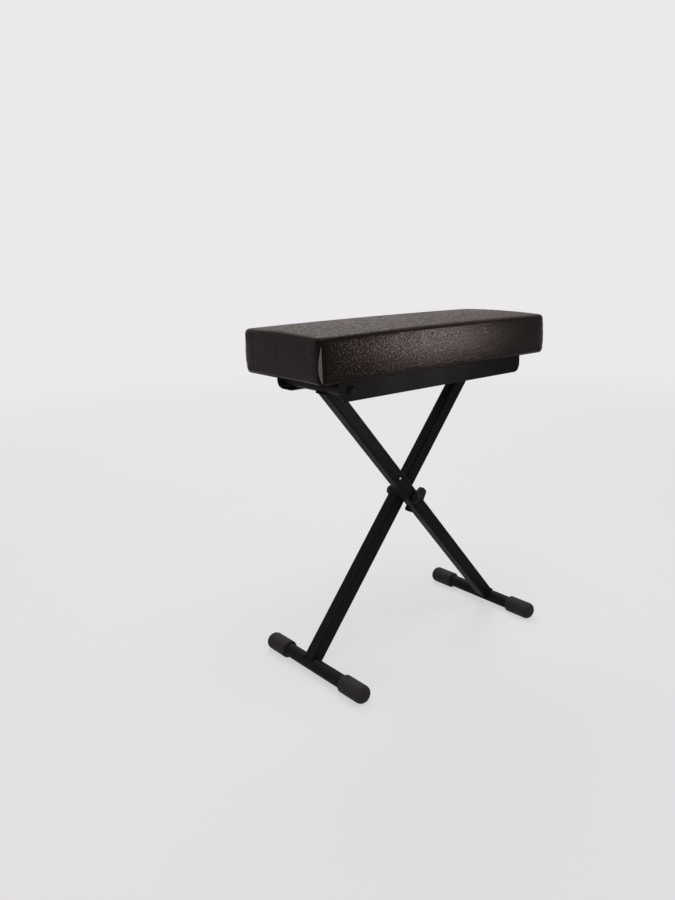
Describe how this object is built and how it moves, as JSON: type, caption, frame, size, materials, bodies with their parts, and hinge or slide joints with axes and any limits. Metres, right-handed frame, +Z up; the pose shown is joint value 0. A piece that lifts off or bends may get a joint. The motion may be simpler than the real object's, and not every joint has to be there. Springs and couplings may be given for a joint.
{
  "type": "folding keyboard bench",
  "caption": "Folding X-frame bench with a padded black vinyl seat on square steel legs, round foot bars with rubber caps, and a ratchet lock at the crossing that sets the seat height.",
  "frame": {"origin": "on the floor, under the middle of the seat", "axes": "+X along the seat, +Y from the front of the seat to its back, +Z up"},
  "size_m": [0.4692, 0.246, 0.542],
  "materials": {
    "cushion_vinyl": "grained satin vinyl",
    "plywood": "bare plywood",
    "powder_coat": "fine textured black powder coat",
    "black_oxide": "black oxide",
    "zinc_plate": "bright zinc",
    "spring_wire": "drawn wire",
    "nylon": "moulded black nylon",
    "grip_plastic": "moulded black plastic",
    "foot_rubber": "matte black rubber"
  },
  "bodies": {
    "front_leg": {"front_leg_tube": "powder_coat", "front_leg_foot_bar": "powder_coat", "front_leg_cap_front": "foot_rubber", "front_leg_cap_rear": "foot_rubber", "hinge_bar": "powder_coat", "hinge_plugs": "nylon", "hinge_washers": "nylon", "hinge_bolts": "black_oxide", "pivot_bolt": "black_oxide", "pivot_nut": "black_oxide", "pivot_washers": "black_oxide", "front_leg_bush": "zinc_plate", "wear_washer": "nylon", "guide_rivets": "zinc_plate", "lock_spring": "spring_wire", "spring_pin": "black_oxide", "wear_pad": "nylon", "pad_rivet": "zinc_plate"},
    "rear_leg": {"rear_leg_tube": "powder_coat", "rear_leg_foot_bar": "powder_coat", "rear_leg_cap_front": "foot_rubber", "rear_leg_cap_rear": "foot_rubber", "glide_bar": "powder_coat", "glide_front": "nylon", "glide_rear": "nylon", "rear_leg_bush": "zinc_plate", "index_disc": "powder_coat"},
    "seat": {"seat_cushion": "cushion_vinyl", "seat_board": "plywood", "front_rail": "powder_coat", "rear_rail": "powder_coat", "rail_screws": "zinc_plate", "tee_nuts": "zinc_plate"},
    "lock": {"lock_plate": "powder_coat", "lock_grip": "grip_plastic", "lock_pin": "zinc_plate"}
  },
  "joints": [
    {"name": "leg_scissor", "type": "hinge", "parent": "front_leg", "child": "rear_leg", "pos_m": [-0.006, 0, 0.256], "axis": [0, -1, 0], "range_deg": [0, 69]},
    {"name": "seat_tilt", "type": "hinge", "parent": "front_leg", "child": "seat", "pos_m": [-0.1716, 0, 0.4605], "axis": [0, -1, 0], "range_deg": [0, 34.5]},
    {"name": "lock_slide", "type": "slide", "parent": "front_leg", "child": "lock", "axis": [0.6293, 0, -0.7771], "range_m": [0, 0.0028], "stiffness_N_per_m": 600, "springref_m": -0.006, "deforming": ["lock_spring"]}
  ],
  "couplings": [
    {"joint": "seat_tilt", "follows": "leg_scissor", "ratio": 0.5}
  ]
}
